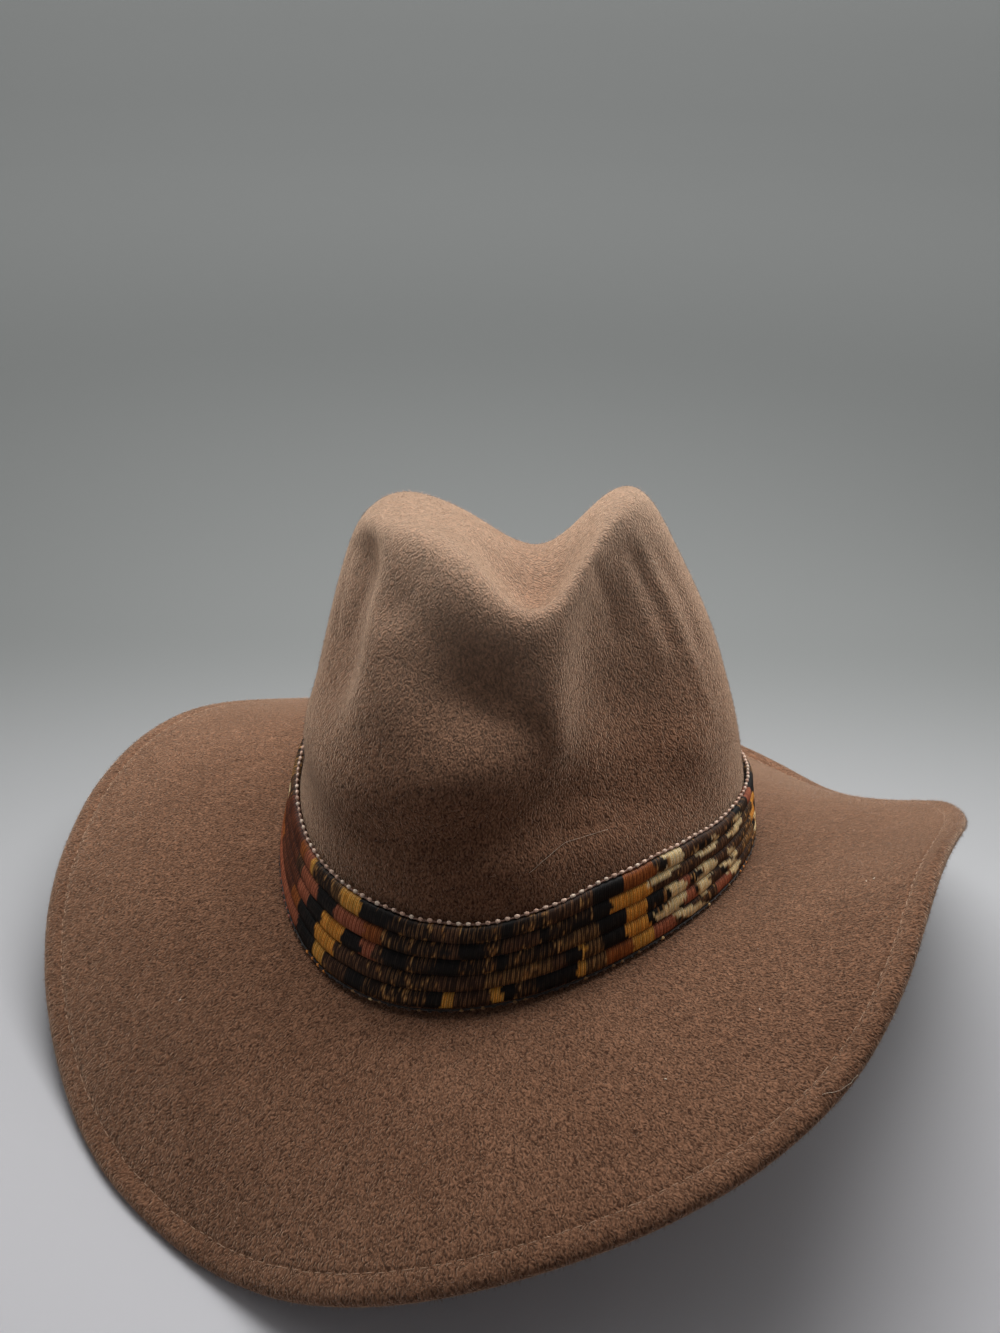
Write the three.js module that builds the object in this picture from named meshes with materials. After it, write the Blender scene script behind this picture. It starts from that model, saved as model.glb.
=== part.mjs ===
// Wool felt cowboy hat: one hollow felt body with a pinched crown and a wavy brim, a ribbed woven band
// round the crown, and a narrow looped edging along each side of the band.
// Millimetres, +Z up, front of the hat towards -Y. The hat rests on its own brim at z = 0.
import * as THREE from 'three';

// Driving dimensions
const headLength = 190;
const headWidth = 166;
const feltThickness = 2.2;
const crownHeight = 151;
const brimWidth = 92;
const bendRadius = 4.5;
const weltWidth = 9.5;
const weltThickness = 1.9;
const bandHeight = 25;
const bandThickness = 2.6;
const bandRibs = 5;
const ribDepth = 0.9;
const edgingWidth = 1.5;
const edgingThickness = 1.4;
const clearance = 0.35;
const saddle = 10.5;
const frontDip = 7;
const pressedDepth = 5;

// Shape of the head opening, and the turn of the crown's pinch towards +X
const eggShare = 0.09;
const pinchTurn = THREE.MathUtils.degToRad(21);

// Lean of the crown's top, as shares of the mean head radius
const crownLean = { x: -0.22, y: -0.1 };

// Brim by azimuth from the front: its width as a share of brimWidth, and the felt's slope in degrees where
// it leaves the crown and at its edge
const brimSections = [
  { azimuth: -180, width: 1, rootSlope: -8, edgeSlope: -22 },
  { azimuth: -150, width: 1, rootSlope: -11, edgeSlope: -31 },
  { azimuth: -120, width: 1, rootSlope: -12, edgeSlope: -27 },
  { azimuth: -90, width: 1.02, rootSlope: -6, edgeSlope: -13 },
  { azimuth: -60, width: 1.05, rootSlope: -8, edgeSlope: -26 },
  { azimuth: -30, width: 1.05, rootSlope: -17, edgeSlope: -46 },
  { azimuth: 0, width: 1.02, rootSlope: -17, edgeSlope: -47 },
  { azimuth: 30, width: 1, rootSlope: -4, edgeSlope: -14 },
  { azimuth: 60, width: 1.01, rootSlope: 4, edgeSlope: 14 },
  { azimuth: 90, width: 0.87, rootSlope: 18, edgeSlope: 44 },
  { azimuth: 120, width: 0.88, rootSlope: 8, edgeSlope: 22 },
  { azimuth: 150, width: 1, rootSlope: -7, edgeSlope: -22 },
];

// Azimuths of the three stretches of brim edge that carry the hat
const restAzimuths = [-12, 162, -150];

// Open crown before it is creased: height as a share of crownHeight, spread as a share of the head oval
const crownSections = [
  { height: 0, spread: 1 },
  { height: 0.19, spread: 0.94 },
  { height: 0.4, spread: 0.865 },
  { height: 0.6, spread: 0.77 },
  { height: 0.75, spread: 0.67 },
  { height: 0.86, spread: 0.54 },
  { height: 0.94, spread: 0.37 },
  { height: 0.985, spread: 0.19 },
  { height: 1, spread: 0 },
];

// Dents pressed into the crown, each along a line. forward and across are shares of the mean head radius,
// in a frame turned with the pinch, and up is a share of crownHeight. reach and depth are shares of the
// mean head radius: how wide the dent is and how far the felt gives along push.
const crownDents = {
  crease: {
    from: { forward: 0.6, across: 0.1, up: 0.95 },
    to: { forward: -0.75, across: -0.06, up: 0.85 },
    reach: 0.23,
    depth: 0.38,
    push: { forward: 0, across: 0, up: -1 },
  },
  creaseLeftSlope: {
    from: { forward: 0.2, across: -0.15, up: 0.95 },
    to: { forward: -0.5, across: -0.2, up: 0.95 },
    reach: 0.28,
    depth: 0.24,
    push: { forward: 0, across: 0, up: -1 },
  },
  rightRidge: {
    from: { forward: 0.36, across: 0.3, up: 0.95 },
    to: { forward: -0.05, across: 0.26, up: 0.95 },
    reach: 0.29,
    depth: 0.19,
    push: { forward: 0, across: 0, up: 1 },
  },
  leftTop: {
    from: { forward: 0.1, across: -0.45, up: 0.93 },
    to: { forward: -0.5, across: -0.4, up: 0.93 },
    reach: 0.28,
    depth: 0.16,
    push: { forward: 0, across: 0, up: -1 },
  },
  leftSlope: {
    from: { forward: 0.5, across: -0.42, up: 0.76 },
    to: { forward: 0.64, across: -0.12, up: 0.64 },
    reach: 0.23,
    depth: 0.19,
    push: { forward: -0.5, across: 0.1, up: -1 },
  },
  frontFold: {
    from: { forward: 0.82, across: 0.08, up: 0.48 },
    to: { forward: 0.62, across: -0.36, up: 0.6 },
    reach: 0.14,
    depth: 0.12,
    push: { forward: -0.9, across: 0.3, up: 0 },
  },
  rightPinch: {
    from: { forward: 0.4, across: 0.6, up: 0.8 },
    to: { forward: 0.58, across: 0.62, up: 0.5 },
    reach: 0.3,
    depth: 0.26,
    push: { forward: -0.4, across: -0.9, up: 0 },
  },
  rightFold: {
    from: { forward: 0.58, across: 0.36, up: 0.7 },
    to: { forward: 0.86, across: 0.34, up: 0.34 },
    reach: 0.2,
    depth: 0.08,
    push: { forward: -0.8, across: -0.6, up: 0 },
  },
  leftGroove: {
    from: { forward: 0.36, across: -0.68, up: 0.76 },
    to: { forward: 0.52, across: -0.7, up: 0.54 },
    reach: 0.14,
    depth: 0.12,
    push: { forward: -0.6, across: 0.8, up: 0 },
  },
};

// Fineness of the faceted surfaces
const turns = 52;
const crownRows = 26;
const crownRowGrowth = 1.25;
const bendRows = 3;
const brimRows = 6;
const edgeSteps = 3;
const ribSteps = 3;
const brimSteps = 24;
const flatTolerance = 0.05;

const headRadius = (headLength + headWidth) / 4;
const halfFelt = feltThickness / 2;
const feltAndWelt = halfFelt + weltThickness;
const edgeRadius = (feltThickness + weltThickness) / 2;
const crownCurve = new THREE.SplineCurve(
  crownSections.map((section) => new THREE.Vector2(section.spread * headRadius, section.height * crownHeight)),
);
const crownLength = crownCurve.getLength();

function turnAngle(turn) {
  return (turn / turns) * Math.PI * 2 - Math.PI;
}

// Value of a closed table's column at an azimuth, by a smooth curve through its rows
function aroundTable(table, column, azimuth) {
  const place = THREE.MathUtils.euclideanModulo(azimuth - table[0].azimuth, 360) / (360 / table.length);
  const row = Math.floor(place);
  const t = place - row;
  const pick = (offset) => table[(row + offset + table.length) % table.length][column];
  const [before, start, end, after] = [pick(-1), pick(0), pick(1), pick(2)];
  const linear = end - before;
  const square = 2 * before - 5 * start + 4 * end - after;
  const cube = after - before + 3 * (start - end);
  return start + 0.5 * t * (linear + t * (square + t * cube));
}

// Head oval, narrower at the front, grown outwards by an offset
function ovalPoint(angle, grow) {
  const side = (headWidth / 2 + grow) * (1 - eggShare * Math.cos(angle));
  return new THREE.Vector2(side * Math.sin(angle), -(headLength / 2 + grow) * Math.cos(angle));
}

function ovalOutward(angle) {
  const nudge = 0.001;
  const tangent = ovalPoint(angle + nudge, 0).sub(ovalPoint(angle - nudge, 0)).normalize();
  return new THREE.Vector2(tangent.y, -tangent.x);
}

// The brim meets the crown along a saddle, low at the front and back and high at the sides, which dips
// further at the front
function rootHeight(angle) {
  return -saddle * Math.cos(2 * angle) - frontDip * Math.cos(angle);
}

function toPinchFrame(point) {
  return point.clone().applyAxisAngle(new THREE.Vector3(0, 0, 1), Math.PI / 2 - pinchTurn);
}

function fromPinchFrame(point) {
  return point.clone().applyAxisAngle(new THREE.Vector3(0, 0, 1), pinchTurn - Math.PI / 2);
}

// In the pinch's frame x runs forward and y runs across, towards +X of the hat
function dentPoint({ forward, across, up }) {
  return new THREE.Vector3(forward * headRadius, across * headRadius, up * crownHeight);
}

function pressDents(point) {
  const local = toPinchFrame(point);
  const moved = local.clone();
  for (const dent of Object.values(crownDents)) {
    const line = new THREE.Line3(dentPoint(dent.from), dentPoint(dent.to));
    const nearest = line.closestPointToPoint(local, true, new THREE.Vector3());
    const distance = nearest.distanceTo(local) / (dent.reach * headRadius);
    const push = new THREE.Vector3(dent.push.forward, dent.push.across, dent.push.up).normalize();
    moved.addScaledVector(push, dent.depth * headRadius * Math.exp(-distance * distance));
  }
  return fromPinchFrame(moved);
}

// Middle of the crown's felt, at a length along the wall from the brim's level
function crownPoint(angle, length) {
  const section = crownCurve.getPointAt(THREE.MathUtils.clamp(length / crownLength, 0, 1));
  const oval = ovalPoint(angle, halfFelt).multiplyScalar(section.x / headRadius);
  const risen = section.y / crownHeight;
  const lean = risen * risen * headRadius;
  const height = section.y + rootHeight(angle) * (1 - risen);
  return pressDents(new THREE.Vector3(oval.x + crownLean.x * lean, oval.y + crownLean.y * lean, height));
}

// Middle of the brim's felt, at a length along the felt from the crown
function brimPoint(angle, length) {
  const azimuth = THREE.MathUtils.radToDeg(angle);
  const rootSlope = THREE.MathUtils.degToRad(aroundTable(brimSections, 'rootSlope', azimuth));
  const edgeSlope = THREE.MathUtils.degToRad(aroundTable(brimSections, 'edgeSlope', azimuth));
  const width = aroundTable(brimSections, 'width', azimuth);
  const step = ((length - bendRadius) * width) / brimSteps;
  let out = bendRadius;
  let up = 0;
  for (let k = 0; k < brimSteps; k += 1) {
    const share = THREE.MathUtils.lerp(bendRadius, length, (k + 0.5) / brimSteps) / brimWidth;
    const slope = THREE.MathUtils.lerp(rootSlope, edgeSlope, share);
    out += step * Math.cos(slope);
    up += step * Math.sin(slope);
  }
  const root = ovalPoint(angle, halfFelt);
  const outward = ovalOutward(angle);
  return new THREE.Vector3(root.x + outward.x * out, root.y + outward.y * out, rootHeight(angle) + up);
}

// The felt turns from the crown's wall to the brim in a small round bend
function bendPoint(angle, share) {
  const wall = crownPoint(angle, bendRadius);
  const shelf = brimPoint(angle, bendRadius);
  const corner = new THREE.Vector3(wall.x, wall.y, shelf.z);
  return new THREE.QuadraticBezierCurve3(wall, corner, shelf).getPoint(share);
}

// The hat is set down on three stretches of its brim, which flatten where they press on the surface
const restPoints = restAzimuths.map((azimuth) => brimPoint(THREE.MathUtils.degToRad(azimuth), brimWidth));
const restPlane = new THREE.Plane().setFromCoplanarPoints(...restPoints);
if (restPlane.normal.z < 0) {
  restPlane.negate();
}
const restTurn = new THREE.Quaternion().setFromUnitVectors(restPlane.normal, new THREE.Vector3(0, 0, 1));

function setDown(point) {
  const placed = point.clone().applyQuaternion(restTurn);
  placed.z += restPlane.constant + feltAndWelt - pressedDepth;
  return placed;
}

// Height of the felt's middle over the surface, never less than the felt below it, eased in smoothly
function flattened(height, below) {
  const ease = pressedDepth / 4;
  const overlap = Math.max(ease - Math.abs(height - below), 0);
  return Math.max(height, below) + (overlap * overlap) / (4 * ease);
}

function ringOf(makePoint) {
  return Array.from({ length: turns }, (_, turn) => makePoint(turnAngle(turn)));
}

// Rings of the felt's middle surface from the top of the crown to the edge of the brim, with the
// thickness of felt below each
function feltRings() {
  const rings = [];
  const addRing = (below, makePoint) => {
    const ring = ringOf((angle) => setDown(makePoint(angle)));
    ring.forEach((point) => {
      point.z = flattened(point.z, below);
    });
    rings.push({ ring, below });
  };
  const wallLength = crownLength - bendRadius;
  for (let k = 1; k <= crownRows; k += 1) {
    const fallen = wallLength * (k / crownRows) ** crownRowGrowth;
    addRing(halfFelt, (angle) => crownPoint(angle, crownLength - fallen));
  }
  for (let k = 1; k <= bendRows; k += 1) {
    addRing(halfFelt, (angle) => bendPoint(angle, k / (bendRows + 1)));
  }
  const weltStart = brimWidth - weltWidth;
  for (let k = 0; k <= brimRows; k += 1) {
    addRing(halfFelt, (angle) => brimPoint(angle, THREE.MathUtils.lerp(bendRadius, weltStart, k / brimRows)));
  }
  for (const length of [weltStart + weltThickness / 2, brimWidth - weltWidth / 2, brimWidth - edgeRadius]) {
    addRing(feltAndWelt, (angle) => brimPoint(angle, length));
  }
  return rings;
}

// Upward normal of the middle surface at each point of each ring
function ringNormals(rings, top) {
  return rings.map(({ ring }, row) => ring.map((_, turn) => {
    const inner = row > 0 ? rings[row - 1].ring[turn] : top;
    const outer = rings[Math.min(row + 1, rings.length - 1)].ring[turn];
    const next = ring[(turn + 1) % turns];
    const last = ring[(turn + turns - 1) % turns];
    return next.clone().sub(last).cross(inner.clone().sub(outer)).normalize();
  }));
}

// Two faces over the patch between neighbouring points of two rings, split along its shorter diagonal
function patchFaces(points, [inner, innerNext, outer, outerNext]) {
  if (points[inner].distanceTo(points[outerNext]) < points[innerNext].distanceTo(points[outer])) {
    return [inner, outer, outerNext, inner, outerNext, innerNext];
  }
  return [inner, outer, innerNext, innerNext, outer, outerNext];
}

// Closed mesh from rings of points, capped by a single point at each end
function cappedMesh(firstPoint, rings, lastPoint) {
  const points = [firstPoint, ...rings.flat(), lastPoint];
  const at = (row, turn) => 1 + row * turns + (turn % turns);
  const bottom = rings.length - 1;
  const faces = [];
  for (let turn = 0; turn < turns; turn += 1) {
    faces.push(0, at(0, turn), at(0, turn + 1));
    faces.push(points.length - 1, at(bottom, turn + 1), at(bottom, turn));
    for (let row = 0; row < bottom; row += 1) {
      const corners = [at(row, turn), at(row, turn + 1), at(row + 1, turn), at(row + 1, turn + 1)];
      faces.push(...patchFaces(points, corners));
    }
  }
  return meshGeometry(points, faces);
}

// Closed ring whose section runs upwards on its outer side, each row of points joined to the next
function loopedMesh(rings) {
  const points = rings.flat();
  const at = (row, turn) => (row % rings.length) * turns + (turn % turns);
  const faces = [];
  for (let turn = 0; turn < turns; turn += 1) {
    for (let row = 0; row < rings.length; row += 1) {
      const corners = [at(row + 1, turn), at(row + 1, turn + 1), at(row, turn), at(row, turn + 1)];
      faces.push(...patchFaces(points, corners));
    }
  }
  return meshGeometry(points, faces);
}

function meshGeometry(points, faces) {
  const positions = points.flatMap((point) => point.toArray());
  const geometry = new THREE.BufferGeometry();
  geometry.setAttribute('position', new THREE.Float32BufferAttribute(positions, 3));
  geometry.setIndex(faces);
  geometry.computeVertexNormals();
  return geometry;
}

function offsetRing(ring, normals, distance) {
  return ring.map((point, turn) => point.clone().addScaledVector(normals[turn], distance));
}

function feltGeometry() {
  const topPoint = setDown(crownPoint(0, crownLength));
  const rings = feltRings();
  const normals = ringNormals(rings, topPoint);
  const outside = rings.map(({ ring }, row) => offsetRing(ring, normals[row], halfFelt));
  const inside = rings.map(({ ring, below }, row) => offsetRing(ring, normals[row], -below));
  const all = [...outside, ...edgeRings(rings, normals), ...inside.reverse()];
  all.flat().filter((point) => point.z < flatTolerance).forEach((point) => {
    point.z = 0;
  });
  const up = new THREE.Vector3(0, 0, 1);
  const above = topPoint.clone().addScaledVector(up, halfFelt);
  const under = topPoint.clone().addScaledVector(up, -halfFelt);
  return cappedMesh(above, all, under);
}

// Rings that roll the brim's edge over from the upper side of the felt to the underside of the welt
function edgeRings(rings, normals) {
  const last = rings.length - 1;
  const rolls = Array.from({ length: edgeSteps }, (_, k) => (Math.PI * (k + 1)) / (edgeSteps + 1));
  return rolls.map((roll) => rings[last].ring.map((point, turn) => {
    const outward = point.clone().sub(rings[last - 1].ring[turn]).normalize();
    const up = halfFelt - edgeRadius * (1 - Math.cos(roll));
    const rolled = point.clone().addScaledVector(normals[last][turn], up);
    return rolled.addScaledVector(outward, edgeRadius * Math.sin(roll));
  }));
}

// A ring wrapped on the crown: its section is a list of places, up along the wall from the brim's level
// and out from the felt's middle
function wrappedGeometry(section) {
  const nudge = 0.5;
  return loopedMesh(section.map(({ up, out }) => ringOf((angle) => {
    const above = crownPoint(angle, up + nudge);
    const below = crownPoint(angle, up - nudge);
    const left = crownPoint(angle - nudge / headRadius, up);
    const right = crownPoint(angle + nudge / headRadius, up);
    const outward = right.sub(left).cross(above.clone().sub(below)).normalize();
    return setDown(crownPoint(angle, up).addScaledVector(outward, out));
  })));
}

// Stack on the wall from the brim up, with a clearance below each: lower edging, band, upper edging
const wallFace = halfFelt + clearance;
const lowerEdgingFace = wallFace + bandThickness - edgingThickness / 2;
const bendRise = bendRadius * (1 - Math.sqrt(Math.min(lowerEdgingFace / bendRadius, 1))) ** 2;
const lowerEdgingBase = bendRise + wallFace;
const bandBase = lowerEdgingBase + edgingWidth + clearance;
const upperEdgingBase = bandBase + bandHeight + clearance;

// The band's outer side swells in ribs, and its inner side follows the wall
function bandSection() {
  const steps = bandRibs * ribSteps;
  const outer = Array.from({ length: steps + 1 }, (_, k) => {
    const swell = Math.sin((Math.PI * (k % ribSteps)) / ribSteps);
    return { up: bandBase + (bandHeight * k) / steps, out: wallFace + bandThickness - ribDepth * (1 - swell) };
  });
  const inner = [1, 0.5, 0].map((share) => ({ up: bandBase + bandHeight * share, out: wallFace }));
  return [...outer, ...inner];
}

// Section of an edging: a strip with a rounded outer side, from a base up and from a face out
function edgingSection(base, face) {
  const outline = [
    { across: 0, deep: 0.5 },
    { across: 0.2, deep: 1 },
    { across: 0.8, deep: 1 },
    { across: 1, deep: 0.5 },
    { across: 0.5, deep: 0 },
  ];
  return outline.map(({ across, deep }) => ({
    up: base + across * edgingWidth,
    out: face + deep * edgingThickness,
  }));
}

const materials = {
  felt: new THREE.MeshStandardMaterial({ color: 0x6b5140, roughness: 0.95, metalness: 0 }),
  band: new THREE.MeshStandardMaterial({ color: 0x6a3a1c, roughness: 0.8, metalness: 0 }),
  paleEdging: new THREE.MeshStandardMaterial({ color: 0xd9b8a0, roughness: 0.7, metalness: 0 }),
  darkEdging: new THREE.MeshStandardMaterial({ color: 0x6e4a22, roughness: 0.7, metalness: 0 }),
};

const hat = new THREE.Group();

function addPiece(name, geometry, material) {
  const piece = new THREE.Mesh(geometry, material);
  piece.name = name;
  hat.add(piece);
}

addPiece('felt_body', feltGeometry(), materials.felt);
addPiece('hat_band', wrappedGeometry(bandSection()), materials.band);
addPiece('upper_edging', wrappedGeometry(edgingSection(upperEdgingBase, wallFace)), materials.paleEdging);
addPiece('lower_edging', wrappedGeometry(edgingSection(lowerEdgingBase, lowerEdgingFace)), materials.darkEdging);

// The origin lies on the resting surface, under the middle of the hat's outline
const middle = new THREE.Box3().setFromObject(hat).getCenter(new THREE.Vector3());
hat.position.set(-middle.x, -middle.y, 0);

export default hat;
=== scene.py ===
import math
import random

import bmesh
import bpy
from mathutils import Euler, Matrix, Vector, geometry, noise
from mathutils.bvhtree import BVHTree


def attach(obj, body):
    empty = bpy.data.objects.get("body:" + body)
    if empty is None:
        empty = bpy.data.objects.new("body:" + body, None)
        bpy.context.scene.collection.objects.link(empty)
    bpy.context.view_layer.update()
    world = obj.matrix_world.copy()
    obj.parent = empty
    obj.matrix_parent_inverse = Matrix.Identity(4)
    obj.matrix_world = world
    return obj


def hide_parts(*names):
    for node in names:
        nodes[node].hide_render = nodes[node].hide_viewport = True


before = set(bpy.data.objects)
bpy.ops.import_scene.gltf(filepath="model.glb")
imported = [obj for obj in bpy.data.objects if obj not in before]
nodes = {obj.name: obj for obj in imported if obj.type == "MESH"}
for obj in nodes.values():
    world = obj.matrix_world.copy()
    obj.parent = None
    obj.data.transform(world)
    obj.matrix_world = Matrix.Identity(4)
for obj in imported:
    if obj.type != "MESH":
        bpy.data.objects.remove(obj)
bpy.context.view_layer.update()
mm = 0.001

# The photo's viewing angle, above the floor
view = {
    "place": (0.1928, -0.338, 0.3289),
    "turn": (61.446, -1.352, 30.243),
    "lens": 32.847,
}


def addCamera():
    cameraData = bpy.data.cameras.new("camera")
    cameraData.lens = view["lens"]
    cameraData.sensor_width = 36
    camera = bpy.data.objects.new("camera", cameraData)
    camera.location = view["place"]
    camera.rotation_euler = Euler([math.radians(angle) for angle in view["turn"]])
    bpy.context.scene.collection.objects.link(camera)
    bpy.context.scene.camera = camera


addCamera()


# Helpers for meshes
def copyOfNode(name):
    bm = bmesh.new()
    bm.from_mesh(nodes[name].data)
    bmesh.ops.remove_doubles(bm, verts=bm.verts, dist=0.01 * mm)
    return bm


def objectFrom(bm, name, material=None):
    for face in bm.faces:
        face.smooth = True
    mesh = bpy.data.meshes.new(name)
    bm.to_mesh(mesh)
    bm.free()
    piece = bpy.data.objects.new(name, mesh)
    bpy.context.scene.collection.objects.link(piece)
    if material:
        mesh.materials.append(material)
    return piece


def finishPiece(bm, name, material, slot, *replaced):
    piece = objectFrom(bm, name, material)
    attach(piece, "root")
    if replaced:
        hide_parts(*replaced)
    print(name, "faces", len(piece.data.polygons))


# A bmesh of the piece with its modifiers applied. The piece itself is removed
def bakedBmesh(piece):
    bpy.context.view_layer.update()
    evaluated = piece.evaluated_get(bpy.context.evaluated_depsgraph_get())
    bm = bmesh.new()
    bm.from_mesh(evaluated.to_mesh())
    evaluated.to_mesh_clear()
    bpy.data.objects.remove(piece)
    return bm


def azimuthOf(place, centre):
    return math.atan2(place.x - centre.x, centre.y - place.y)


def bellAt(distance, width):
    return math.exp(-(distance / width) ** 2)


# Matrix that puts a small form at a spot, with its long side along one way and its top along another
def setAt(spot, along, up, size):
    turn = Matrix((along, up.cross(along), up)).transposed().to_4x4()
    return Matrix.Translation(spot) @ turn @ Matrix.Diagonal((*size, 1))


def addBead(bm, matrix):
    return bmesh.ops.create_icosphere(bm, subdivisions=1, radius=1, matrix=matrix)["verts"]


# Helpers for node trees
def linear(red, green, blue):
    def oneChannel(value):
        value /= 255
        return value / 12.92 if value <= 0.04045 else ((value + 0.055) / 1.055) ** 2.4
    return (oneChannel(red), oneChannel(green), oneChannel(blue), 1)


def addAnyNode(tree, kind, inputs=None, **settings):
    node = tree.nodes.new(kind)
    for name, value in settings.items():
        setattr(node, name, value)
    for key, value in (inputs or {}).items():
        if isinstance(value, bpy.types.NodeSocket):
            tree.links.new(value, node.inputs[key])
        else:
            node.inputs[key].default_value = value
    return node


def addNode(tree, kind, inputs=None, **settings):
    return addAnyNode(tree, "ShaderNode" + kind, inputs, **settings)


def newMaterial(name, surface):
    material = bpy.data.materials.new(name)
    material.use_nodes = True
    tree = material.node_tree
    shader = tree.nodes["Principled BSDF"]
    for key, value in surface.items():
        shader.inputs[key].default_value = value
    return material, tree, shader


def mixed(tree, share, first, second, blend="MIX"):
    return addNode(tree, "Mix", {0: share, 6: first, 7: second}, data_type="RGBA", blend_type=blend).outputs[2]


def ranged(tree, value, fromMin, fromMax, toMin=0.0, toMax=1.0):
    return addNode(tree, "MapRange", {"Value": value, "From Min": fromMin, "From Max": fromMax,
                                      "To Min": toMin, "To Max": toMax}).outputs["Result"]


def scaled(tree, vector, amount):
    return addNode(tree, "VectorMath", {0: vector, "Scale": amount}, operation="SCALE").outputs[0]


def added(tree, first, second):
    return addNode(tree, "VectorMath", {0: first, 1: second}, operation="ADD").outputs[0]


def objectPlace(tree):
    return addNode(tree, "TexCoord").outputs["Object"]


def addBump(tree, shader, height, strength, distance):
    bump = addNode(tree, "Bump", {"Height": height, "Strength": strength, "Distance": distance})
    tree.links.new(bump.outputs["Normal"], shader.inputs["Normal"])


def newGroup(name, inputs, outputs):
    group = bpy.data.node_groups.new(name, "ShaderNodeTree")
    for way, sockets in (("INPUT", inputs), ("OUTPUT", outputs)):
        for socket, kind in sockets.items():
            group.interface.new_socket(socket, in_out=way, socket_type="NodeSocket" + kind)
    return group, group.nodes.new("NodeGroupInput").outputs, group.nodes.new("NodeGroupOutput").inputs


nap = {
    "warpScale": 420.0,
    "warpReach": 1.6 * mm,
    "taps": 3,
    "contrast": 0.14,
}


# Short curly fibres: a warped noise, smeared a little along the way that the fibres lie
def makeNapGroup():
    group, given, result = newGroup(
        "napStrands", {"Place": "Vector", "Lie": "Vector", "Scale": "Float", "Reach": "Float"}, {"Strand": "Float"})
    warp = addNode(group, "TexNoise", {"Vector": given["Place"], "Scale": nap["warpScale"], "Detail": 1.0})
    start = added(group, given["Place"], scaled(group, warp.outputs["Color"], nap["warpReach"]))
    taps = nap["taps"]
    total = None
    for tap in range(taps):
        share = addNode(group, "Math", {0: given["Reach"], 1: tap / (taps - 1) - 0.5}, operation="MULTIPLY")
        place = added(group, start, scaled(group, given["Lie"], share.outputs[0]))
        grain = addNode(group, "TexNoise", {"Vector": place, "Scale": given["Scale"], "Detail": 1.0,
                                            "Roughness": 0.5}).outputs["Fac"]
        total = grain if total is None else addNode(group, "Math", {0: total, 1: grain}, operation="ADD").outputs[0]
    strand = ranged(group, total, taps * (0.5 - nap["contrast"]), taps * (0.5 + nap["contrast"]))
    group.links.new(strand, result["Strand"])
    return group


# Twisted thread: a fine grain that darkens and lightens a colour
def makeTwistGroup():
    group, given, result = newGroup(
        "threadTwist", {"Place": "Vector", "Colour": "Color", "Scale": "Float", "From": "Float", "To": "Float",
                        "Dark": "Color", "Light": "Color"}, {"Colour": "Color", "Grain": "Float"})
    grain = addNode(group, "TexNoise", {"Vector": given["Place"], "Scale": given["Scale"], "Detail": 2.0})
    share = ranged(group, grain.outputs["Fac"], given["From"], given["To"])
    shade = mixed(group, share, given["Dark"], given["Light"])
    group.links.new(mixed(group, 1.0, given["Colour"], shade, "MULTIPLY"), result["Colour"])
    group.links.new(grain.outputs["Fac"], result["Grain"])
    return group


napGroup = makeNapGroup()
twistGroup = makeTwistGroup()


# Thread of one colour, or of the colours that its vertices carry
def threadMaterial(name, look, colour=None):
    material, tree, shader = newMaterial(name, look["surface"])
    if colour is None:
        colour = addNode(tree, "Attribute", attribute_name="thread").outputs["Color"]
    twist = addNode(tree, "Group", {"Place": objectPlace(tree), "Colour": colour, **look["twist"]},
                    node_tree=twistGroup)
    tree.links.new(twist.outputs["Colour"], shader.inputs["Base Color"])
    addBump(tree, shader, twist.outputs["Grain"], *look["bump"])
    return material


# The thread of the stitches and of the lint
looseThread = {
    "twist": {"Scale": 2600.0, "From": 0.3, "To": 0.7, "Dark": (0.7, 0.68, 0.66, 1), "Light": (1.15, 1.13, 1.1, 1)},
    "bump": (0.4, 0.1 * mm),
    "surface": {"Roughness": 0.7, "Sheen Weight": 0.2},
}

# Felt
felt = {
    "darkFibre": linear(66, 42, 29),
    "lightFibre": linear(142, 103, 79),
    "grainScale": 1650,
    "grainReach": 0.5 * mm,
    "tuftScale": 380,
    "tuftReach": 1.6 * mm,
    "tuftTints": ((0.88, 0.87, 0.86, 1), (1.1, 1.09, 1.08, 1)),
    "clouds": {"Scale": 34.0, "Detail": 5.0, "Roughness": 0.62},
    "cloudRange": (0.35, 0.65),
    "cloudTints": ((0.9, 0.87, 0.85, 1), (1.08, 1.08, 1.08, 1)),
    "tuftsInBump": 0.3,
    "bump": (0.9, 0.5 * mm),
    # paler towards the crown's top: partly fading and wear, partly painted sheen on the peaks
    "wearAndSheenFrom": 0.11,
    "wearAndSheenTo": 0.19,
    "wearAndSheenShare": 0.35,
    "wearAndSheenTint": linear(206, 182, 158),
    "surface": {"Roughness": 0.95, "Specular IOR Level": 0.12, "Sheen Weight": 1.0, "Sheen Roughness": 0.4,
                "Sheen Tint": linear(240, 206, 176)},
    "subdivisions": 2,
    "wobble": 0.3 * mm,
    "wobbleScale": 40,
    "creasesAbove": 87 * mm,
    "creasesFade": 9 * mm,
    # places across the welt, in rows from the brim's edge
    "seamFromEdge": 4.05,
    "seamWidth": 0.3,
    "seamDepth": 0.4 * mm,
    "puffFromEdge": 2.6,
    "puffWidth": 1.1,
    "weltPuff": 0.3 * mm,
    "restsBelow": 1 * mm,
}

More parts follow.
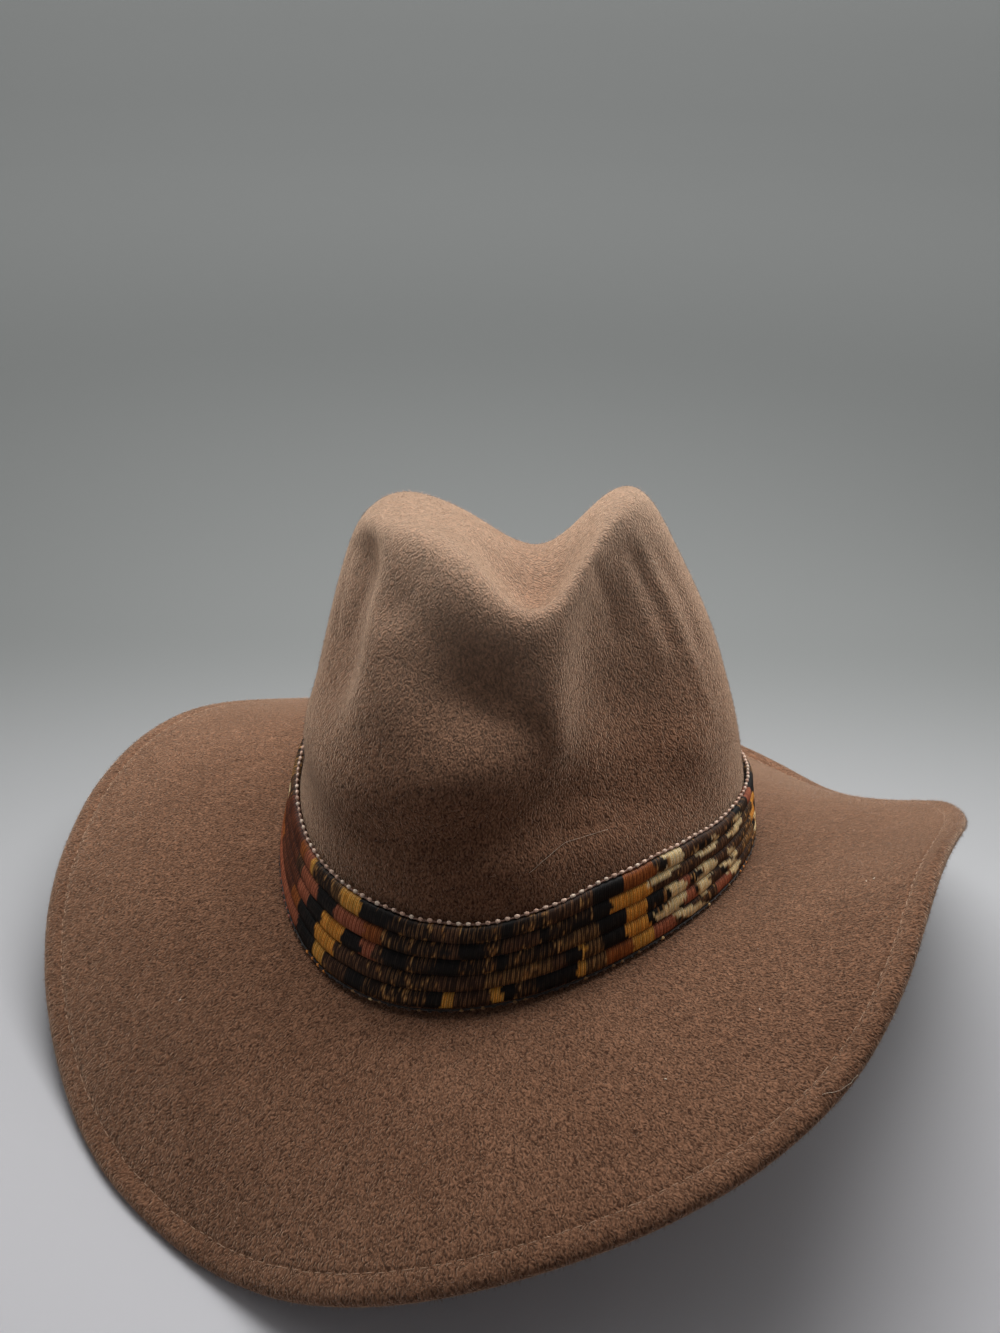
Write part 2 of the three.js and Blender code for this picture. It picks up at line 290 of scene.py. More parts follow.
# Soft creases pressed into the crown by hand, in millimetres: a rise below zero is a valley
creases = [
    {"rise": 0.7, "width": 3.0,
     "line": [(43.6, 16.2, 172.7), (54.6, 20, 151.7), (70.5, 17.9, 125.2), (76.7, 17.7, 113.6)]},
    {"rise": 0.5, "width": 2.6,
     "line": [(43.1, 7.6, 164.7), (47.1, 8.6, 155.8), (55, 9.3, 142.5), (59.5, 8.9, 135.1)]},
    {"rise": -0.9, "width": 3.2, "line": [(40.1, -4.8, 166.5), (43.9, -0.1, 153.6), (46.6, -2, 145)]},
    {"rise": -0.8, "width": 2.6, "line": [(45.3, 13.9, 165.2), (52.9, 15.5, 151.5), (61.2, 14, 137.2)]},
    {"rise": -0.7, "width": 3.2, "line": [(50.4, 24.8, 162.4), (58.8, 27.7, 148.2), (67.3, 25.3, 133.9)]},
    {"rise": 2.4, "width": 12,
     "line": [(-50, -52, 106), (-14.9, -75.3, 103.1), (5.4, -78.5, 106.6), (20, -74.9, 111.7),
              (31.3, -63.7, 119.5), (41.9, -44.9, 125.3)]},
    {"rise": 2.4, "width": 12, "line": [(54.1, -24.3, 118.5), (66, -12.1, 112), (74, 4, 106)]},
    {"rise": -3.2, "width": 10, "line": [(-41, -27, 158), (-40, -40, 140)]},
    {"rise": -2.6, "width": 11,
     "line": [(9.1, -84.6, 90), (26.4, -79, 94.8), (41.6, -68, 101.7), (53.3, -50, 101.7), (66.2, -31.8, 98.4)]},
    {"rise": -1.3, "width": 8,
     "line": [(-9, -47.7, 157.1), (9.2, -52.2, 149.8), (23, -50.4, 140.4), (36, -47.3, 133.1)]},
]


def feltMaterial():
    material, tree, shader = newMaterial("feltFinish", felt["surface"])
    place = objectPlace(tree)
    lie = addNode(tree, "Attribute", attribute_name="lie").outputs["Vector"]
    fine, tufts = (
        addNode(tree, "Group", {"Place": place, "Lie": lie, "Scale": scale, "Reach": reach},
                node_tree=napGroup).outputs["Strand"]
        for scale, reach in ((felt["grainScale"], felt["grainReach"]), (felt["tuftScale"], felt["tuftReach"])))
    clouds = addNode(tree, "TexNoise", {"Vector": place, **felt["clouds"]})
    cloud = ranged(tree, clouds.outputs["Fac"], *felt["cloudRange"])
    colour = mixed(tree, fine, felt["darkFibre"], felt["lightFibre"])
    for share, tints in ((tufts, felt["tuftTints"]), (cloud, felt["cloudTints"])):
        colour = mixed(tree, 1.0, colour, mixed(tree, share, *tints), "MULTIPLY")
    # Paler towards the top of the crown: partly fading and wear, partly painted sheen on the peaks
    height = addNode(tree, "SeparateXYZ", {0: place}).outputs["Z"]
    wearAndSheen = ranged(tree, height, felt["wearAndSheenFrom"], felt["wearAndSheenTo"], 0.0, felt["wearAndSheenShare"])
    tree.links.new(mixed(tree, wearAndSheen, colour, felt["wearAndSheenTint"]), shader.inputs["Base Color"])
    addBump(tree, shader, mixed(tree, felt["tuftsInBump"], fine, tufts), *felt["bump"])
    return material


# Rings of vertices round the felt, from the top of the crown over the edge to the hollow's top
def feltRings(bm):
    top = max(bm.verts, key=lambda v: len(v.link_edges) * 10 + v.co.z)
    rings = [[top]]
    seen = {top}
    while True:
        ring = {edge.other_vert(v) for v in rings[-1] for edge in v.link_edges} - seen
        if not ring:
            return rings
        seen |= ring
        rings.append(list(ring))


# Sorts each ring round its own middle and lines its columns up with the ring before
def sortRings(rings):
    columns = len(rings[1])
    for row, ring in enumerate(rings):
        if len(ring) < columns:
            continue
        centre = sum((v.co for v in ring), Vector()) / columns
        ring.sort(key=lambda v: azimuthOf(v.co, centre))
        if row > 1:
            last = rings[row - 1]
            shifts = {shift: sum((ring[(k + shift) % columns].co - last[k].co).length for k in range(columns))
                      for shift in range(-3, 4)}
            best = min(shifts, key=shifts.get)
            rings[row] = ring[best:] + ring[:best]
    return rings


def dissolveDiagonals(bm, rings):
    column = {v: k for ring in rings if len(ring) > 1 for k, v in enumerate(ring)}
    row = {v: k for k, ring in enumerate(rings) for v in ring}
    diagonals = [edge for edge in bm.edges
                 if all(v in column for v in edge.verts)
                 and row[edge.verts[0]] != row[edge.verts[1]]
                 and column[edge.verts[0]] != column[edge.verts[1]]]
    bmesh.ops.dissolve_edges(bm, edges=diagonals, use_verts=False)


# The way that the fibres lie: down the crown and out along the brim, on both sides of the felt. Each vertex
# also keeps its row, counted from the edge of the brim: below zero on the upper side
def markRows(rings, lie, fromEdge):
    edgeRow = max(range(1, len(rings) - 1), key=lambda k: sum(v.co.xy.length for v in rings[k]))
    for row, ring in enumerate(rings):
        for k, v in enumerate(ring):
            ahead = rings[min(row + 1, len(rings) - 1)]
            behind = rings[max(row - 1, 0)]
            step = ahead[k % len(ahead)].co - behind[k % len(behind)].co
            v[lie] = step.normalized() * (1 if row <= edgeRow else -1)
            v[fromEdge] = row - edgeRow
    return edgeRow


def distanceTo(place, start, end):
    share = geometry.intersect_point_line(place, start, end)[1]
    return (place - start.lerp(end, max(0, min(1, share)))).length


def creaseRise(place):
    rise = 0.0
    for crease in creases:
        line = [Vector(point) * mm for point in crease["line"]]
        nearest = min(distanceTo(place, start, end) for start, end in zip(line, line[1:]))
        rise += crease["rise"] * mm * bellAt(nearest, crease["width"] * mm)
    return rise

# Small forms on the smooth felt: a slow wobble, the sunken seam and puffed edge of the welt, the creases
def shapeFelt(bm, fromEdge):
    bm.normal_update()
    moves = []
    for v in bm.verts:
        row = v[fromEdge]
        rise = felt["wobble"] * noise.noise(v.co * felt["wobbleScale"])
        for seamRow in (-felt["seamFromEdge"], felt["seamFromEdge"]):
            rise -= felt["seamDepth"] * bellAt(row - seamRow, felt["seamWidth"])
        rise += felt["weltPuff"] * bellAt(abs(row) - felt["puffFromEdge"], felt["puffWidth"])
        if row < 0 and v.co.z > felt["creasesAbove"]:
            fade = min((v.co.z - felt["creasesAbove"]) / felt["creasesFade"], 1)
            rise += creaseRise(v.co) * fade
        if v.co.z < felt["restsBelow"]:
            rise = 0
        moves.append(v.co + v.normal * rise)
    for v, move in zip(bm.verts, moves):
        v.co = move


def makeFelt():
    bm = copyOfNode("felt_body")
    lie = bm.verts.layers.float_vector.new("lie")
    fromEdge = bm.verts.layers.float.new("fromEdge")
    rings = sortRings(feltRings(bm))
    edgeRow = markRows(rings, lie, fromEdge)
    dissolveDiagonals(bm, rings)
    print("felt rings", len(rings), "columns", len(rings[1]), "edge row", edgeRow)
    rough = objectFrom(bm, "feltRough")
    modifier = rough.modifiers.new("subdivision", "SUBSURF")
    modifier.levels = modifier.render_levels = felt["subdivisions"]
    bm = bakedBmesh(rough)
    shapeFelt(bm, bm.verts.layers.float["fromEdge"])
    bm.normal_update()
    surface = bm.copy()
    tree = BVHTree.FromBMesh(surface)
    finishPiece(bm, "felt_hat", feltMaterial(), "felt", "felt_body")
    return surface, tree


feltSurface, feltTree = makeFelt()
print("felt done")

# Fuzz: short loose fibres that stand off the felt
fuzz = {
    "base": 0.045 * mm,
    "length": 1.15 * mm,
    "sizes": (0.45, 1.35),
    "lie": 0.5,
    "tilt": 0.5,
    "spread": 1.0,
    "dark": linear(92, 64, 47),
    "light": linear(182, 146, 118),
    "surface": {"Roughness": 0.7, "Specular IOR Level": 0.2, "Sheen Weight": 0.3},
    # name, first and last row from the brim's edge, fibres on a square metre, seed
    "pieces": [
        ("crown_fuzz", -41, -13.5, 0.8e6, 11),
        ("brim_fuzz", -13.5, -2.6, 0.7e6, 21),
        ("edge_fuzz", -2.6, 3.4, 2.4e6, 31),
        ("under_fuzz", 3.4, 41, 0.2e6, 41),
    ],
}


# Geometry Nodes: fibres scattered over a mesh, laid along its nap with a little tilt and spread
def makeFibreTree(name, density, seed):
    tree = bpy.data.node_groups.new(name, "GeometryNodeTree")
    tree.interface.new_socket("Geometry", in_out="INPUT", socket_type="NodeSocketGeometry")
    tree.interface.new_socket("Geometry", in_out="OUTPUT", socket_type="NodeSocketGeometry")
    source = tree.nodes.new("NodeGroupInput")
    sink = tree.nodes.new("NodeGroupOutput")
    scatter = addAnyNode(tree, "GeometryNodeDistributePointsOnFaces",
                         {"Mesh": source.outputs[0], "Density": density, "Seed": seed})
    lie = addAnyNode(tree, "GeometryNodeInputNamedAttribute", {"Name": "lie"}, data_type="FLOAT_VECTOR")
    drift = addAnyNode(tree, "FunctionNodeRandomValue",
                       {0: [-fuzz["spread"]] * 3, 1: [fuzz["spread"]] * 3, "Seed": seed + 1},
                       data_type="FLOAT_VECTOR")
    lean = added(tree, scaled(tree, lie.outputs["Attribute"], fuzz["lie"]),
                 scaled(tree, scatter.outputs["Normal"], fuzz["tilt"]))
    way = added(tree, lean, drift.outputs[0])
    turn = addAnyNode(tree, "FunctionNodeAlignRotationToVector", {"Vector": way}, axis="Z")
    size = addAnyNode(tree, "FunctionNodeRandomValue",
                      {2: fuzz["sizes"][0], 3: fuzz["sizes"][1], "Seed": seed + 2}, data_type="FLOAT")
    tone = addAnyNode(tree, "FunctionNodeRandomValue", {"Seed": seed + 3}, data_type="FLOAT")
    keep = addAnyNode(tree, "GeometryNodeStoreNamedAttribute",
                      {"Geometry": scatter.outputs["Points"], "Name": "tone", "Value": tone.outputs[1]},
                      data_type="FLOAT", domain="POINT")
    fibre = addAnyNode(tree, "GeometryNodeMeshCone", {"Vertices": 3, "Radius Top": 0.0,
                                                      "Radius Bottom": fuzz["base"], "Depth": fuzz["length"]},
                       fill_type="NONE")
    placed = addAnyNode(tree, "GeometryNodeInstanceOnPoints",
                        {"Points": keep.outputs[0], "Instance": fibre.outputs["Mesh"],
                         "Rotation": turn.outputs[0], "Scale": size.outputs[1]})
    real = addAnyNode(tree, "GeometryNodeRealizeInstances", {0: placed.outputs[0]})
    tree.links.new(real.outputs[0], sink.inputs[0])
    return tree


def fibreMaterial():
    material, tree, shader = newMaterial("fibreFinish", fuzz["surface"])
    tone = addNode(tree, "Attribute", attribute_name="tone").outputs["Fac"]
    tree.links.new(mixed(tree, tone, fuzz["dark"], fuzz["light"]), shader.inputs["Base Color"])
    return material


def makeFuzz(name, firstRow, lastRow, density, seed, material):
    part = feltSurface.copy()
    fromEdge = part.verts.layers.float["fromEdge"]
    outside = [face for face in part.faces
               if not firstRow <= sum(v[fromEdge] for v in face.verts) / len(face.verts) <= lastRow]
    bmesh.ops.delete(part, geom=outside, context="FACES")
    base = objectFrom(part, name + "Base")
    modifier = base.modifiers.new("fibres", "NODES")
    modifier.node_group = makeFibreTree(name + "Scatter", density, seed)
    finishPiece(bakedBmesh(base), name, material, "felt")


fibreFinish = fibreMaterial()
for piece in fuzz["pieces"]:
    makeFuzz(*piece, fibreFinish)
print("fuzz done")

# Welt seam: one row of small stitches near the brim's edge, on both sides
stitching = {
    "pitch": 3.4 * mm,
    "half": (1.25 * mm, 0.2 * mm, 0.16 * mm),
    "sunk": 0.02 * mm,
    "colour": linear(168, 134, 106),
    "jitter": 0.25 * mm,
    "steps": 600,
    "lookAhead": 0.002,
    "rowReach": 0.13,
}


# Smooth closed curve through evenly numbered points, read at a share of the way round
def aroundLoop(points, share):
    count = len(points)
    place = (share % 1) * count
    start = int(place)
    t = place - start
    before, here, ahead, after = (points[(start + offset) % count] for offset in (-1, 0, 1, 2))
    return here + 0.5 * t * (ahead - before + t * (2 * before - 5 * here + 4 * ahead - after
                                                  + t * (3 * (here - ahead) + after - before)))


# Shares of the way round the loop at even steps along its length, and that length
def evenShares(points, steps):
    fine = 4 * steps
    places = [aroundLoop(points, k / fine) for k in range(fine + 1)]
    lengths = [0.0]
    for last, place in zip(places, places[1:]):
        lengths.append(lengths[-1] + (place - last).length)
    shares = []
    k = 0
    for step in range(steps + 1):
        wanted = lengths[-1] * step / steps
        while k < fine - 1 and lengths[k + 1] < wanted:
            k += 1
        shares.append((k + (wanted - lengths[k]) / (lengths[k + 1] - lengths[k])) / fine)
    return shares, lengths[-1]


def seamPoints(row):
    fromEdge = feltSurface.verts.layers.float["fromEdge"]
    near = [v for v in feltSurface.verts if abs(v[fromEdge] - row) < stitching["rowReach"]]
    centre = sum((v.co for v in near), Vector()) / len(near)
    near.sort(key=lambda v: azimuthOf(v.co, centre))
    return [v.co.copy() for v in near]


# Matrix that puts a small form at a place on the felt, with its long side along the way given
def laidOn(place, way, size, rise=0.0):
    spot, normal, _, _ = feltTree.find_nearest(place)
    along = (way - normal * way.dot(normal)).normalized()
    return setAt(spot + normal * rise, along, normal, size)


def makeStitches():
    bm = bmesh.new()
    draws = random.Random(17)
    steps = stitching["steps"]
    for row in (-felt["seamFromEdge"], felt["seamFromEdge"]):
        points = seamPoints(row)
        shares, length = evenShares(points, steps)
        count = round(length / stitching["pitch"])
        for k in range(count):
            share = shares[round(steps * k / count)]
            place = aroundLoop(points, share)
            way = aroundLoop(points, share + stitching["lookAhead"]) - place
            drift = Vector([draws.uniform(-1, 1) for _ in range(3)]) * stitching["jitter"]
            addBead(bm, laidOn(place + drift, way, stitching["half"], stitching["sunk"]))
    finishPiece(bm, "welt_stitches", threadMaterial("stitchFinish", looseThread, stitching["colour"]), "felt")


makeStitches()
print("stitches done")


# Slices of a wrapped ring at evenly spaced azimuths. Each gives the ring's four corners there
def cornerLoops(bm, slices):
    centre = sum((v.co for v in bm.verts), Vector()) / len(bm.verts)
    loops = {"innerLow": [], "outerLow": [], "innerHigh": [], "outerHigh": []}
    for k in range(slices):
        azimuth = 2 * math.pi * k / slices
        outward = Vector((math.sin(azimuth), -math.cos(azimuth), 0))
        across = Vector((math.cos(azimuth), math.sin(azimuth), 0))
        part = bm.copy()
        everything = part.verts[:] + part.edges[:] + part.faces[:]
        cut = bmesh.ops.bisect_plane(part, geom=everything, plane_co=centre, plane_no=across)["geom_cut"]
        points = [v.co.copy() for v in cut if isinstance(v, bmesh.types.BMVert)]
        points = [point for point in points if (point - centre).dot(outward) > 0]
        out = {tuple(point): (point - centre).dot(outward) for point in points}
        loops["innerLow"].append(min(points, key=lambda p: out[tuple(p)] + p.z))
        loops["outerHigh"].append(max(points, key=lambda p: out[tuple(p)] + p.z))
        loops["outerLow"].append(max(points, key=lambda p: out[tuple(p)] - p.z))
        loops["innerHigh"].append(min(points, key=lambda p: out[tuple(p)] - p.z))
        part.free()
    return loops


# Woven band
band = {
    "ribs": 5,
    "rowsPerRib": 6,
    "height": 25 * mm,
    "threadPitch": 0.72 * mm,
    "columnsPerThread": 3,
    "edgeDepth": 1.3 * mm,
    "ribDepth": 1.45 * mm,
    "ribRoundness": 0.7,
    # painted shade towards the valleys between the ribs
    "paintedRibShade": 0.5,
    "threadDepth": 0.16 * mm,
    "threadProfile": (-1, 0.8, 0.8),
    "threadJitter": 0.5,
    # painted shade in the grooves between threads
    "paintedGrooveShade": 0.5,
    "toneLeast": 0.8,
    "toneSpread": 0.4,
    "slant": 1.6 * mm,
    "slices": 104,
    # the pattern, in millimetres along the band
    "chartStart": -70,
    "chartLength": 287.25,
    "runJitter": 0.9,
    "runWander": 1.2,
    "featherSize": 1.12,
    "featherFray": 0.16,
    "heartDrop": 0.25,
    "heartSize": 0.62,
    "heartRim": 0.76,
    "rimGold": 0.4,
    "heartGold": 0.25,
    "smallCurl": 0.4,
    "curlWidths": {"fleck": 0.04, "olive": 0.045, "brown": 0.02},
    "curlsAbove": -0.1,
    "blackBelow": -0.22,
    # painted highlights along the threads: patchiness, offset and sharpness
    "highlightPatch": 0.8,
    "highlightLess": 0.25,
    "highlightContrast": 4,
    # slow noise on the chart: rate along it, rate down it, layer
    "frayNoise": (1, 3, 7),
    "wanderNoise": (0.6, 1.7, 3),
    "curlNoise": (0.2, 0.9, 11),
    "smallCurlNoise": (0.6, 2.6, 5),
    "patchNoise": (0.09, 0.6, 41),
    "highlightNoise": (3.7, 1.6, 29),
    "look": {
        "twist": {"Scale": 3200.0, "From": 0.35, "To": 0.65, "Dark": (0.72, 0.72, 0.72, 1),
                  "Light": (1.2, 1.2, 1.2, 1)},
        "bump": (0.5, 0.1 * mm),
        "surface": {"Roughness": 0.6, "Specular IOR Level": 0.22},
    },
}

# Each yarn: its base, the painted highlight along some of its threads, and the share of threads with that highlight
yarns = {
    "black": (linear(22, 18, 16), linear(50, 40, 33), 0.3),
    "maroon": (linear(86, 44, 28), linear(140, 78, 50), 0.5),
    "brick": (linear(160, 84, 56), linear(206, 124, 88), 0.6),
    "rust": (linear(146, 76, 30), linear(192, 112, 54), 0.5),
    "brown": (linear(64, 41, 27), linear(140, 98, 66), 0.4),
    "olive": (linear(84, 58, 34), linear(184, 134, 80), 0.45),
    "gold": (linear(226, 152, 56), linear(248, 192, 98), 0.6),
    "orange": (linear(232, 144, 48), linear(252, 186, 86), 0.6),
    "cream": (linear(255, 218, 152), linear(255, 238, 196), 0.6),
    "fleck": (linear(42, 28, 19), linear(140, 100, 62), 0.35),
    "fleckGold": (linear(164, 110, 60), linear(236, 184, 114), 0.45),
}

# The weave, rib by rib from the top: where each run of yarn ends, in millimetres along the band from the
# front, towards the side whose brim curls up. The chart repeats round the band
chart = [
    [(-46, "maroon"), (-41, "rust"), (-35, "brick"), (-33, "gold"), (-21, "fleck"), (-16, "olive"),
     (-7, "gold"), (0, "black"), (22, "fleck"), (30, "brown"), (45, "fleck"), (48, "black"), (60, "fleck"),
     (76, "brown"), (89, "black"), (102, "rust"), (108, "fleck"), (116, "cream"), (150, "brown"),
     (163, "fleck"), (171, "brick"), (180, "black"), (196, "fleck"), (206, "olive"), (217.25, "brown")],
    [(-46, "maroon"), (-40, "brown"), (-28, "brick"), (-18, "black"), (-4, "brick"), (4, "rust"),
     (28, "fleck"), (31, "brown"), (39, "black"), (44, "fleck"), (57, "brown"), (60, "black"),
     (76, "fleck"), (83, "black"), (100, "orange"), (156, "brown"), (170, "fleck"), (178, "orange"),
     (190, "black"), (206, "fleck"), (217.25, "maroon")],
    [(-42, "maroon"), (-33, "brick"), (-23, "black"), (-12, "orange"), (-4, "black"), (2, "brick"),
     (6, "brown"), (14, "black"), (24, "fleck"), (31, "black"), (43, "fleck"), (46, "black"), (65, "fleck"),
     (78, "olive"), (88, "black"), (97, "orange"), (112, "black"), (117, "brick"), (150, "brown"),
     (166, "fleck"), (176, "orange"), (184, "black"), (200, "fleck"), (217.25, "maroon")],
    [(-45, "maroon"), (-38, "rust"), (-25, "black"), (-14, "orange"), (8, "brown"), (24, "fleck"),
     (40, "brown"), (62, "olive"), (66, "brown"), (71, "black"), (73, "gold"), (79, "olive"), (88, "black"),
     (98, "orange"), (113, "black"), (120, "brick"), (152, "brown"), (168, "olive"), (182, "black"),
     (198, "fleck"), (217.25, "rust")],
    [(-37, "brick"), (-25, "black"), (-19, "gold"), (-8, "brown"), (22, "fleck"), (27, "black"),
     (30, "gold"), (42, "brown"), (46, "gold"), (50, "black"), (66, "fleck"), (70, "black"), (73, "gold"),
     (80, "olive"), (90, "rust"), (99, "gold"), (108, "brick"), (130, "brown"), (140, "brick"),
     (158, "brown"), (172, "fleck"), (186, "olive"), (200, "black"), (217.25, "brick")],
]

# Pale feather tips over the runs: middle in millimetres along the band and in ribs from the top, half
# lengths along and across the band, how far a tip leans along the band from its top to its bottom, and
# where its dark heart lies
feathers = [
    {"along": 110.5, "down": 0.55, "long": 5.2, "tall": 0.55, "lean": 2, "heart": -0.8},
    {"along": 104, "down": 1.2, "long": 5.5, "tall": 0.24, "lean": 1, "heart": -1.4},
    {"along": 129, "down": 0.85, "long": 6.5, "tall": 0.48, "lean": 0, "heart": -0.1},
    {"along": 148, "down": 0.95, "long": 6.5, "tall": 0.55, "lean": 1, "heart": -0.5},
    {"along": 107.5, "down": 2.95, "long": 7.2, "tall": 0.88, "lean": -2, "heart": -0.6},
    {"along": 125.5, "down": 2.55, "long": 7, "tall": 0.52, "lean": 0, "heart": -0.75},
    {"along": 123.5, "down": 3.5, "long": 3.8, "tall": 0.55, "lean": 1, "heart": -1.2},
    {"along": 143.5, "down": 2.85, "long": 2.4, "tall": 0.55, "lean": 5, "heart": -1.5},
    {"along": 141, "down": 3.75, "long": 4.6, "tall": 0.68, "lean": 6, "heart": -0.75},
    {"along": 118, "down": 4.75, "long": 5.2, "tall": 0.75, "lean": 11, "heart": -1.3},
    {"along": 176, "down": 3.6, "long": 6, "tall": 0.8, "lean": 4, "heart": -0.5},
    {"along": 203, "down": 1.4, "long": 5, "tall": 0.6, "lean": 3, "heart": -0.6},
]

# The band's edges wander a little: rise of the top and of the bottom edge, in millimetres, along the chart
bandWave = [
    (-70, 1.2, -0.6), (-45, 1.9, -0.8), (-20, 3.0, -0.7), (0, 3.0, 0), (18, 1.5, 0), (36, 0.3, -0.1),
    (58, 1.1, -0.2), (80, 2.5, -0.4), (100, 2.0, -0.5), (122, 0.2, -0.7), (140, -0.9, -0.6),
    (165, -0.2, -0.3), (192, 0.8, -0.4), (217.25, 1.2, -0.6),
]


def onChart(along):
    return (along - band["chartStart"]) % band["chartLength"] + band["chartStart"]


def chartNoise(along, down, rates):
    return noise.noise(Vector((along * rates[0], down * rates[1], rates[2])))


# Rise of the band's top and bottom edge at a place along it
def edgeRises(along):
    along = onChart(along)
    for (start, startTop, startLow), (end, endTop, endLow) in zip(bandWave, bandWave[1:]):
        if along <= end:
            share = (along - start) / (end - start)
            share = share * share * (3 - 2 * share)
            return (startTop + (endTop - startTop) * share) * mm, (startLow + (endLow - startLow) * share) * mm
    return bandWave[-1][1] * mm, bandWave[-1][2] * mm


# The feather tips' yarn at a place on the chart, or None between them
def featherYarn(along, down, draw):
    for feather in feathers:
        x = along - feather["along"] - feather["lean"] * (down - feather["down"])
        x = x / feather["long"] / band["featherSize"]
        y = (down - feather["down"]) / feather["tall"] / band["featherSize"]
        edge = 1 + band["featherFray"] * chartNoise(along, down, band["frayNoise"])
        if math.hypot(x, y) < edge:
            heart = math.hypot(x - feather["heart"], y + band["heartDrop"])
            if heart < band["heartSize"]:
                return "fleckGold" if draw < band["heartGold"] else "black"
            return "fleckGold" if heart < band["heartRim"] and draw < band["rimGold"] else "cream"


def yarnAt(along, down, draw):
    along = onChart(along + band["runJitter"] * (draw - 0.5))
    feather = featherYarn(along, down, draw)
    if feather:
        return feather
    runs = chart[min(int(down), band["ribs"] - 1)]
    ragged = along + band["runWander"] * chartNoise(along, down, band["wanderNoise"])
    name = next(yarn for end, yarn in runs if ragged <= end or end == runs[-1][0])
    if name in band["curlWidths"]:
        curl = chartNoise(along, down, band["curlNoise"])
        curl += band["smallCurl"] * chartNoise(along, down, band["smallCurlNoise"])
        patch = chartNoise(along, down, band["patchNoise"])
        if abs(curl) < band["curlWidths"][name] and patch > band["curlsAbove"]:
            return "fleckGold"
        if name == "fleck" and patch < band["blackBelow"]:
            return "black"
    return name


# Colour of one vertex of the band: the yarn there, with painted highlights that run part of the way down a thread
def yarnColour(along, down, inThread, thread, draw):
    base, paintedHighlight, share = yarns[yarnAt(along, down, draw)]
    amount = 0.0
    if inThread == 1 + thread * 7919 % 2:
        patchy = chartNoise(thread, down, band["highlightNoise"]) * band["highlightPatch"] + band["highlightLess"]
        amount = min(max((share - patchy) * band["highlightContrast"], 0), 1)
    return [low + (high - low) * amount for low, high in zip(base[:3], paintedHighlight[:3])]


# A place on the band: round it, up it from the bottom edge, and out from the wall
def bandPlace(loops, share, up, depth):
    low = aroundLoop(loops["innerLow"], share)
    inner = low.lerp(aroundLoop(loops["innerHigh"], share), up)
    return inner + (aroundLoop(loops["outerLow"], share) - low).normalized() * depth


def makeBand(loops, ring, length):
    ribs, rowsPerRib, perThread = band["ribs"], band["rowsPerRib"], band["columnsPerThread"]
    threads = round(length / band["threadPitch"])
    columns = threads * perThread
    rows = ribs * rowsPerRib
    shares = evenShares(ring, columns)[0]

    bm = bmesh.new()
    colour = bm.verts.layers.float_color.new("thread")
    bmesh.ops.create_grid(bm, x_segments=columns, y_segments=rows, size=0.5)
    draws = random.Random(5)
    threadDraws = [[draws.random() for _ in range(ribs)] for _ in range(threads)]
    for v in bm.verts:
        column = round((v.co.x + 0.5) * columns) % columns
        row = round((v.co.y + 0.5) * rows)
        rib = min(row // rowsPerRib, ribs - 1)
        inRib = row / rowsPerRib - rib
        swell = math.sin(math.pi * inRib)
        up = (rib + 0.5 - 0.5 * math.cos(math.pi * inRib)) / ribs
        lean = band["slant"] * (up - 0.5)
        top, low = edgeRises((column / columns * length + lean) / mm)
        placeUp = up + (low + (top - low) * up) / band["height"]
        thread, inThread = divmod(column, perThread)
        raised = band["threadProfile"][inThread]
        draw = threadDraws[thread][rib]
        depth = band["edgeDepth"] + band["ribDepth"] * swell ** band["ribRoundness"]
        depth += band["threadDepth"] * (raised + band["threadJitter"] * (draw - 0.5))
        v.co = bandPlace(loops, shares[column] + lean / length, placeUp, depth)
        # A random tone for each thread and rib, with painted shade in the grooves between threads and towards the
        # valleys between ribs
        light = (band["toneLeast"] + band["toneSpread"] * draw) * (band["paintedGrooveShade"] if raised < 0 else 1.0)
        light *= 1 - band["paintedRibShade"] + band["paintedRibShade"] * swell
        middle = ((thread + 0.5) * perThread / columns * length + lean) / mm
        yarn = yarnColour(middle, (1 - up) * ribs, inThread, thread, draw)
        v[colour] = [channel * light for channel in yarn] + [1]
    bmesh.ops.remove_doubles(bm, verts=bm.verts, dist=0.01 * mm)
    closeBack(bm, band["edgeDepth"])
    print("band threads", threads, "length", round(length, 4))
    finishPiece(bm, "woven_band", threadMaterial("bandFinish", band["look"]), "band", "hat_band")


# Turns the band's two open borders in to the wall behind it and joins them there
def closeBack(bm, depth):
    borders = [edge for edge in bm.edges if edge.is_boundary]
    made = bmesh.ops.extrude_edge_only(bm, edges=borders)["geom"]
    inner = [item for item in made if isinstance(item, bmesh.types.BMVert)]
    centre = sum((v.co for v in inner), Vector()) / len(inner)
    for v in inner:
        v.co -= Vector((v.co.x - centre.x, v.co.y - centre.y, 0)).normalized() * depth
    loops = [edge for edge in bm.edges if edge.is_boundary]
    bmesh.ops.bridge_loops(bm, edges=loops)
    bmesh.ops.recalc_face_normals(bm, faces=bm.faces)


bandSource = copyOfNode("hat_band")
bandLoops = cornerLoops(bandSource, band["slices"])
bandSource.free()
bandMiddle = [(low + high) / 2 for low, high in zip(bandLoops["outerLow"], bandLoops["outerHigh"])]
bandLength = evenShares(bandMiddle, 10)[1]
makeBand(bandLoops, bandMiddle, bandLength)
print("band done")

